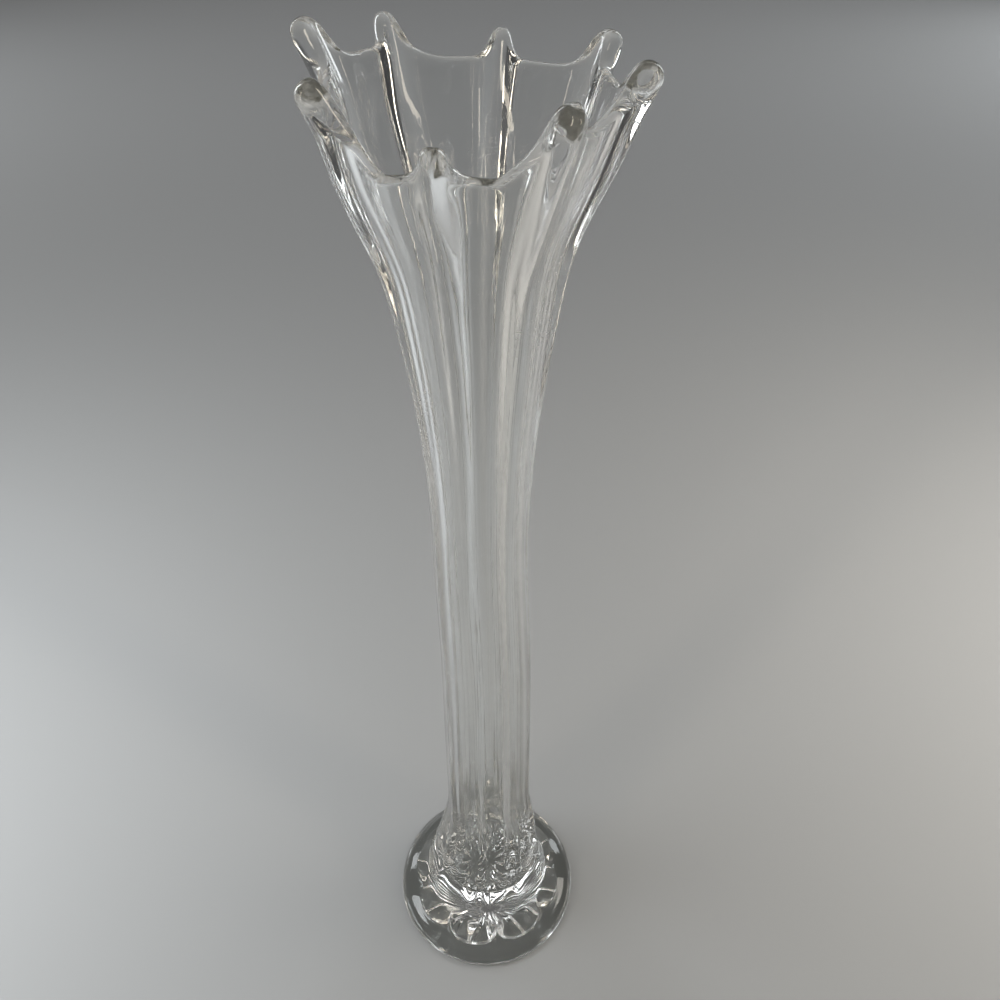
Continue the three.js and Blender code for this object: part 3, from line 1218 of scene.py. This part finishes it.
@dataclass(frozen=True)
class Studio:
    """The camera at the photograph's angle, the pale floor, the sky and the lamps.

    Four tall strips draw the bright lines on the glass, and the two pools light the
    floor on either side, which shows through the ribs as pale streaks.
    """

    eye: tuple[float, float, float] = (0.0, -0.2388, 0.5342)
    pitch_down: float = 43.16
    yaw: float = 1.87
    lens: float = 32.4
    sensor: float = 36.0
    bounces: int = 64
    floor_reach: float = 6.0
    floor: PaperFloor = field(default_factory=PaperFloor)
    floor_gap: float = 0.0003
    sky_rise: float = 0.8
    sky_low: float = 0.05
    sky_high: float = 0.12
    lamps: tuple[SoftBox, ...] = (
        SoftBox("top_box", (0.0, -0.8, 2.2), (0.0, 0.0, 0.0), 1.8, 1.4, 2.5),
        SoftBox("left_strip", (-1.3, -1.3, 0.8), (0.0, 0.0, 0.15), 0.2, 1.4, 8.0, GOLDEN),
        SoftBox("right_strip", (1.5, -1.0, 0.8), (0.0, 0.0, 0.15), 0.2, 1.4, 7.0, GOLDEN),
        SoftBox("left_back_strip", (-1.4, 1.3, 0.9), (0.0, 0.0, 0.2), 0.25, 1.5, 8.0, COOL),
        SoftBox("right_back_strip", (1.3, 1.5, 0.9), (0.0, 0.0, 0.2), 0.25, 1.5, 7.0, COOL),
        SoftBox(
            "left_pool", (-0.62, 0.0, 0.55), (-0.55, 0.0, 0.0), 0.35, 0.5, 2.3, COOL, POOL_SPREAD
        ),
        SoftBox(
            "right_pool", (0.68, 0.1, 0.55), (0.6, 0.1, 0.0), 0.35, 0.5, 1.8, WARM, POOL_SPREAD
        ),
        SoftBox("back_wash", (0.0, 2.0, 2.0), (0.0, 2.8, 0.0), 2.5, 0.8, 8.0),
    )

    def build_camera(self) -> None:
        """Places the camera."""
        data = bpy.data.cameras.new("camera")
        data.lens = self.lens
        data.sensor_width = self.sensor
        data.clip_start = 0.01
        camera = bpy.data.objects.new("camera", data)
        camera.location = self.eye
        camera.rotation_euler = (
            math.radians(90.0 - self.pitch_down),
            0.0,
            math.radians(-self.yaw),
        )
        bpy.context.scene.collection.objects.link(camera)
        bpy.context.scene.camera = camera

    def build_floor(self) -> None:
        """Lays the pale floor."""
        reach = self.floor_reach
        mesh = bpy.data.meshes.new("floor")
        low = -self.floor_gap
        sides = ((-1, -1), (1, -1), (1, 1), (-1, 1))
        corners = [(reach * x, reach * y, low) for x, y in sides]
        mesh.from_pydata(corners, [], [(0, 1, 2, 3)])
        mesh.materials.append(self.floor.build("studio_paper"))
        floor = bpy.data.objects.new("floor", mesh)
        bpy.context.scene.collection.objects.link(floor)

    def build_sky(self) -> None:
        """Gives the studio its even grey light, a little darker near the floor."""
        world = bpy.data.worlds.new("studio")
        bpy.context.scene.world = world
        world.use_nodes = True
        tree = world.node_tree
        tree.nodes.clear()
        output = tree.nodes.new("ShaderNodeOutputWorld")
        glow = tree.nodes.new("ShaderNodeBackground")
        place = tree.nodes.new("ShaderNodeTexCoord")
        split = tree.nodes.new("ShaderNodeSeparateXYZ")
        tree.links.new(place.outputs["Generated"], split.inputs[0])
        up = Field(tree, split.outputs["Z"]).smoothstep(0.0, self.sky_rise)
        level = mix(self.sky_low, self.sky_high, up)
        shade = tree.nodes.new("ShaderNodeCombineXYZ")
        for slot in shade.inputs:
            tree.links.new(level.socket, slot)
        tree.links.new(shade.outputs[0], glow.inputs["Color"])
        tree.links.new(glow.outputs[0], output.inputs["Surface"])

    def build(self) -> None:
        """Sets up the whole studio."""
        self.build_camera()
        self.build_floor()
        self.build_sky()
        for lamp in self.lamps:
            lamp.build()
        scene = bpy.context.scene
        scene.view_settings.view_transform = "Standard"
        scene.cycles.max_bounces = self.bounces
        scene.cycles.transmission_bounces = self.bounces
        scene.cycles.glossy_bounces = self.bounces
        scene.cycles.caustics_reflective = False
        scene.cycles.caustics_refractive = False


# The vase


@dataclass(frozen=True)
class SwungVase:
    """The whole vase: one skin of clear glass from the foot to the fingers."""

    foot: FootSizes = field(default_factory=FootSizes)
    star: StarSizes = field(default_factory=StarSizes)
    base: BaseSizes = field(default_factory=BaseSizes)
    column: ColumnSizes = field(default_factory=ColumnSizes)
    mouth: MouthSizes = field(default_factory=MouthSizes)
    wall: WallSizes = field(default_factory=WallSizes)
    hand: Hand = field(default_factory=Hand)
    glass: ClearGlass = field(default_factory=ClearGlass)

    def sizes(self) -> dict[str, float]:
        """Gathers the sizes of all the vase's portions.

        Returns:
            The sizes in millimetres, by name.
        """
        found: dict[str, float] = {}
        for group in (self.foot, self.star, self.base, self.column, self.mouth, self.wall):
            found.update(asdict(group))
        return found

    def build(self) -> bpy.types.Object:
        """Makes the vase in place of the frame's nodes.

        Returns:
            The finished vase.
        """
        sheet = Sheet(self.foot, self.star, self.base, self.mouth, self.hand)
        sizes = self.sizes()
        rule = VaseTree("swung_vase", sizes, self.hand)
        rule.shape()
        inputs: dict[str, object] = {VaseTree.title(key): value for key, value in sizes.items()}
        inputs["Glass"] = self.glass.build("fire_polished_glass")
        vase = run_tree(sheet.build("vase_sheet"), rule.tree, inputs, "vase_glass")
        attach(vase, "root")
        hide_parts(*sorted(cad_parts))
        mesh = vase.data
        LOG.info("%s: %d points, %d faces", vase.name, len(mesh.vertices), len(mesh.polygons))
        return vase


def main() -> None:
    """Builds the studio and the vase."""
    logging.basicConfig(level=logging.INFO, format="%(message)s")
    studio = Studio()
    studio.build()
    LOG.info("studio: camera, floor, sky and %d lamps", len(studio.lamps))
    SwungVase().build()


if __name__ == "__main__":
    main()
